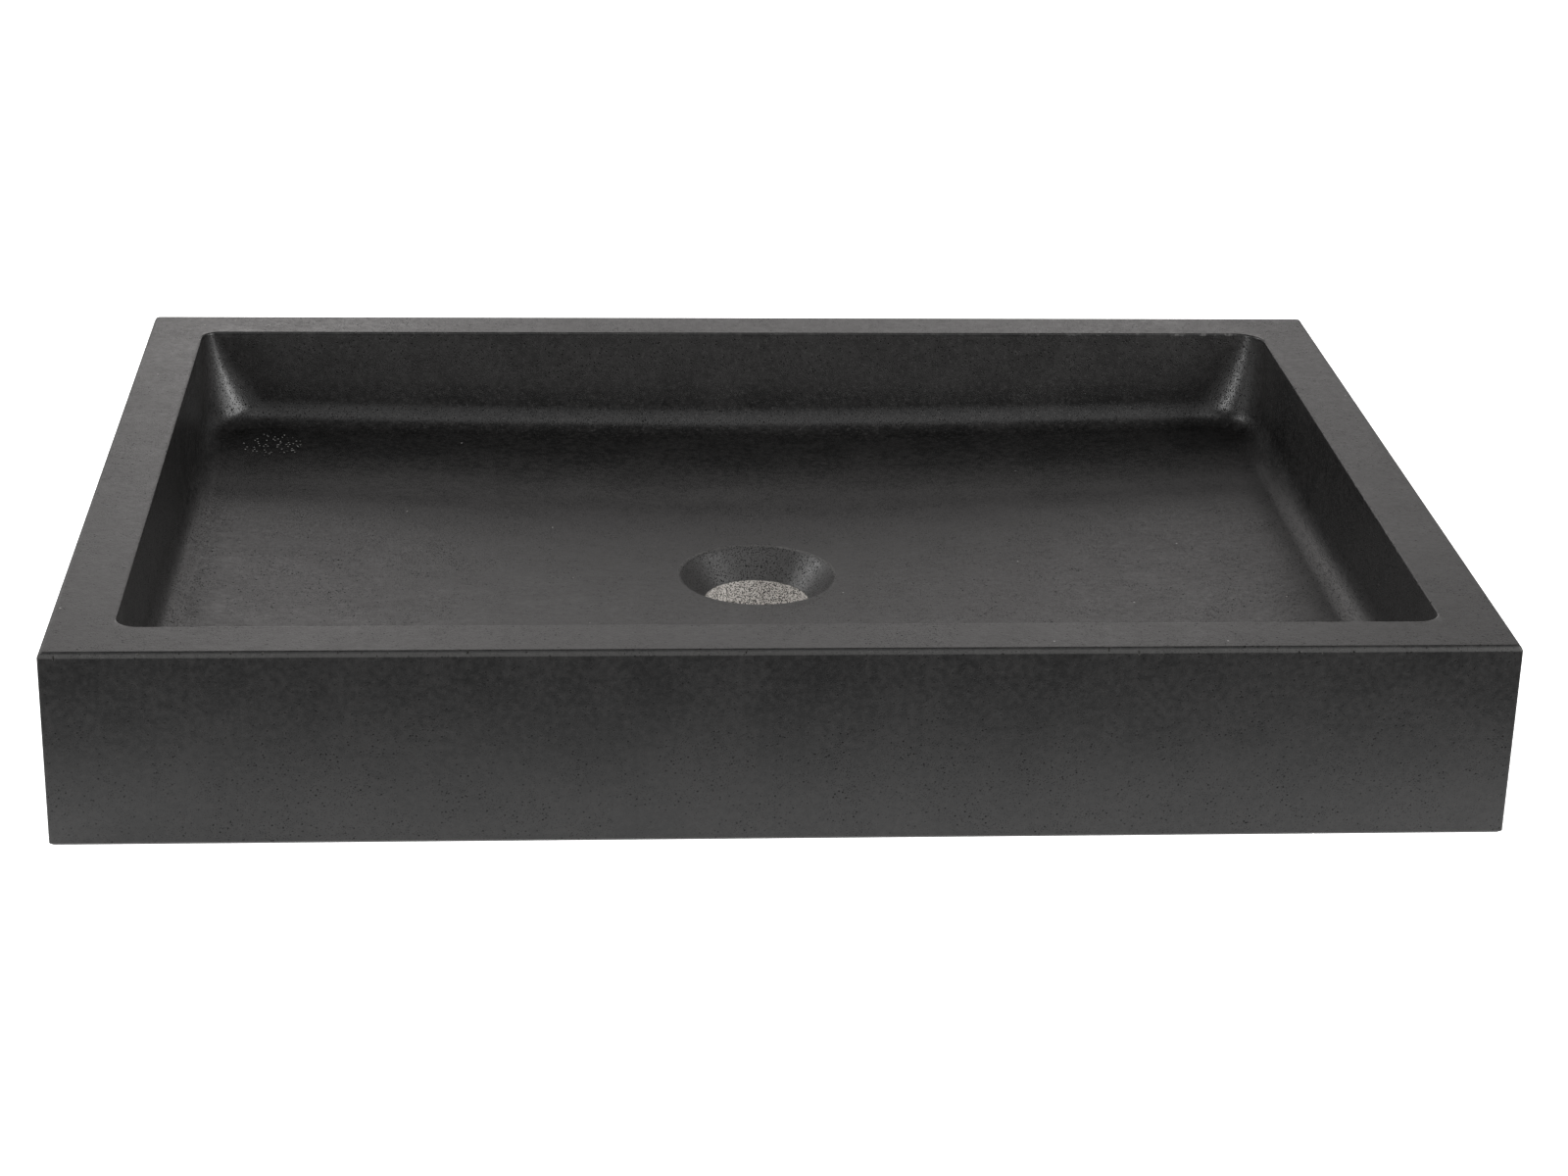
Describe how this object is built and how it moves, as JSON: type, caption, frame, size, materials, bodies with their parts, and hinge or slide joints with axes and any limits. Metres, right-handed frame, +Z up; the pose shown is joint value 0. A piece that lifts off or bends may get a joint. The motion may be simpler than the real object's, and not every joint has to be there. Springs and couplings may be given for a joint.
{
  "type": "stone wash basin",
  "caption": "Shallow rectangular wash basin cut from a single block of honed basalt, with a flat rim, rounded bowl corners and a floor that falls to a conical waste seat and bore.",
  "frame": {"origin": "middle of the underside, on the axis of the waste", "axes": "+X along the block, +Y towards its back, +Z up"},
  "size_m": [0.55, 0.4, 0.078],
  "materials": {
    "honed_basalt": "honed and sealed, fine open pores, raw in the bore"
  },
  "bodies": {
    "root": {"basin": "honed_basalt"}
  },
  "joints": []
}
